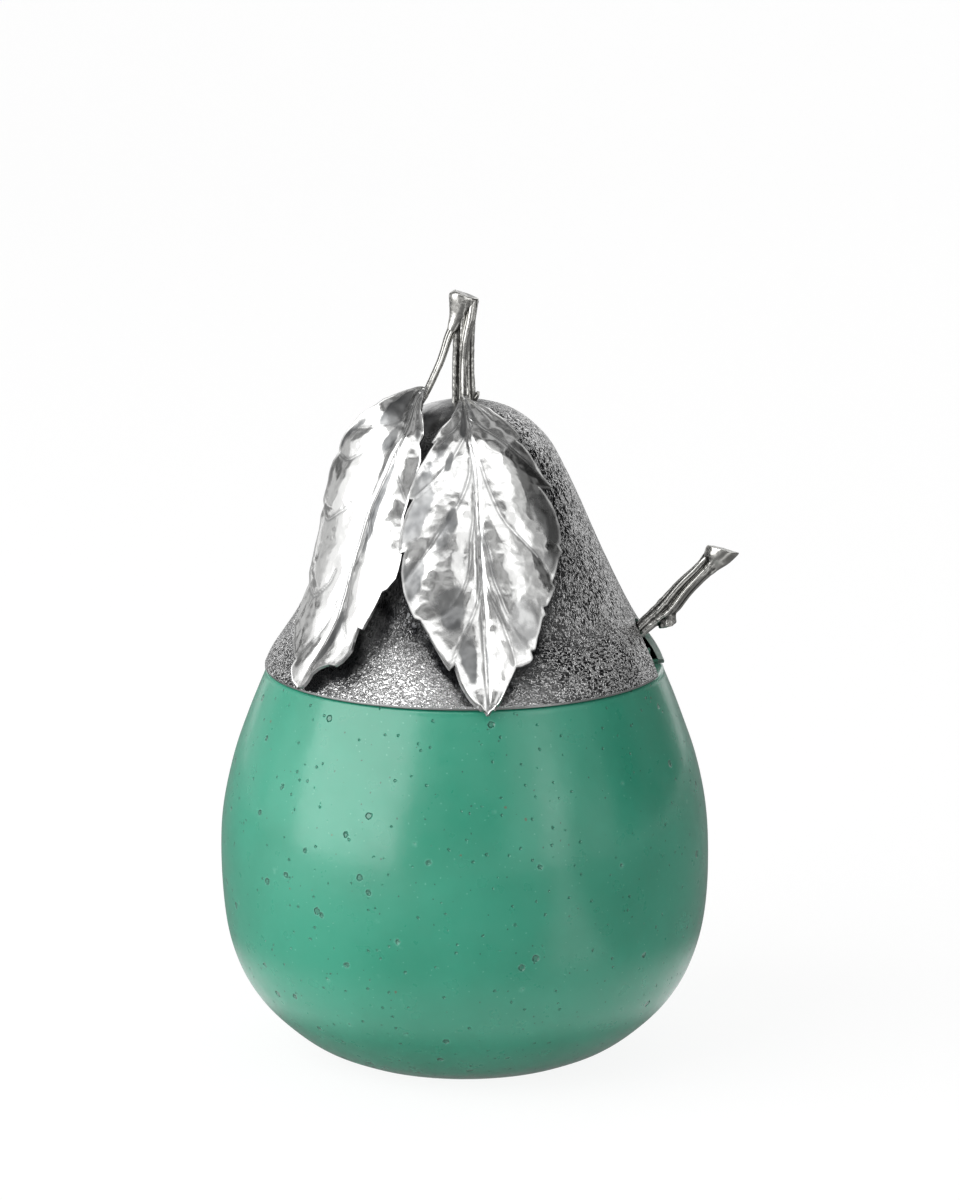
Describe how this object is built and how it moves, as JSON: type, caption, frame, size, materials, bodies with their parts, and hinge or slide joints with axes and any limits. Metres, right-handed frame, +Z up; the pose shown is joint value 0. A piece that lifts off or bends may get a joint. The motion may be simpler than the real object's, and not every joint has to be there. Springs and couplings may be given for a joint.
{
  "type": "jam pot",
  "caption": "Pear-shaped glazed jar with a lift-off silver lid, twig finial, two hanging leaves and a twig-handled spoon that leaves through a notch in the lid's edge.",
  "frame": {"origin": "centre of the foot's flat underside, on the jar's axis", "axes": "+Z up, -Y to the front, where the leaves hang, +X to the right, where the spoon's handle points"},
  "size_m": [0.0953, 0.09, 0.1426],
  "materials": {
    "green_glaze": "glossy green glaze with fine pits and specks",
    "chased_silver": "sterling silver, hammered to a fine grain and darkened in the hollows",
    "plain_silver": "sterling silver, smooth",
    "twig_silver": "cast sterling silver, polished and darkened in the flutes",
    "leaf_silver": "sterling silver, chased and bright polished"
  },
  "bodies": {
    "jar": {"jar": "green_glaze"},
    "lid": {"lid_shell": "chased_silver", "rim_band": "plain_silver", "seat_ring": "plain_silver", "twig": "twig_silver", "left_stalk": "twig_silver", "front_stalk": "twig_silver", "left_leaf": "leaf_silver", "front_leaf": "leaf_silver"},
    "spoon": {"spoon_handle": "twig_silver", "spoon_bowl": "plain_silver"}
  },
  "joints": [
    {"name": "lid_lift", "type": "slide", "parent": "jar", "child": "lid", "axis": [0, 0, 1], "range_m": [0, 0.125]},
    {"name": "spoon_lift", "type": "slide", "parent": "jar", "child": "spoon", "axis": [0.3395, -0.0417, 0.9397], "range_m": [0, 0.075]}
  ],
  "couplings": [
    {"joint": "spoon_lift", "follows": "lid_lift", "ratio": 0.6}
  ]
}
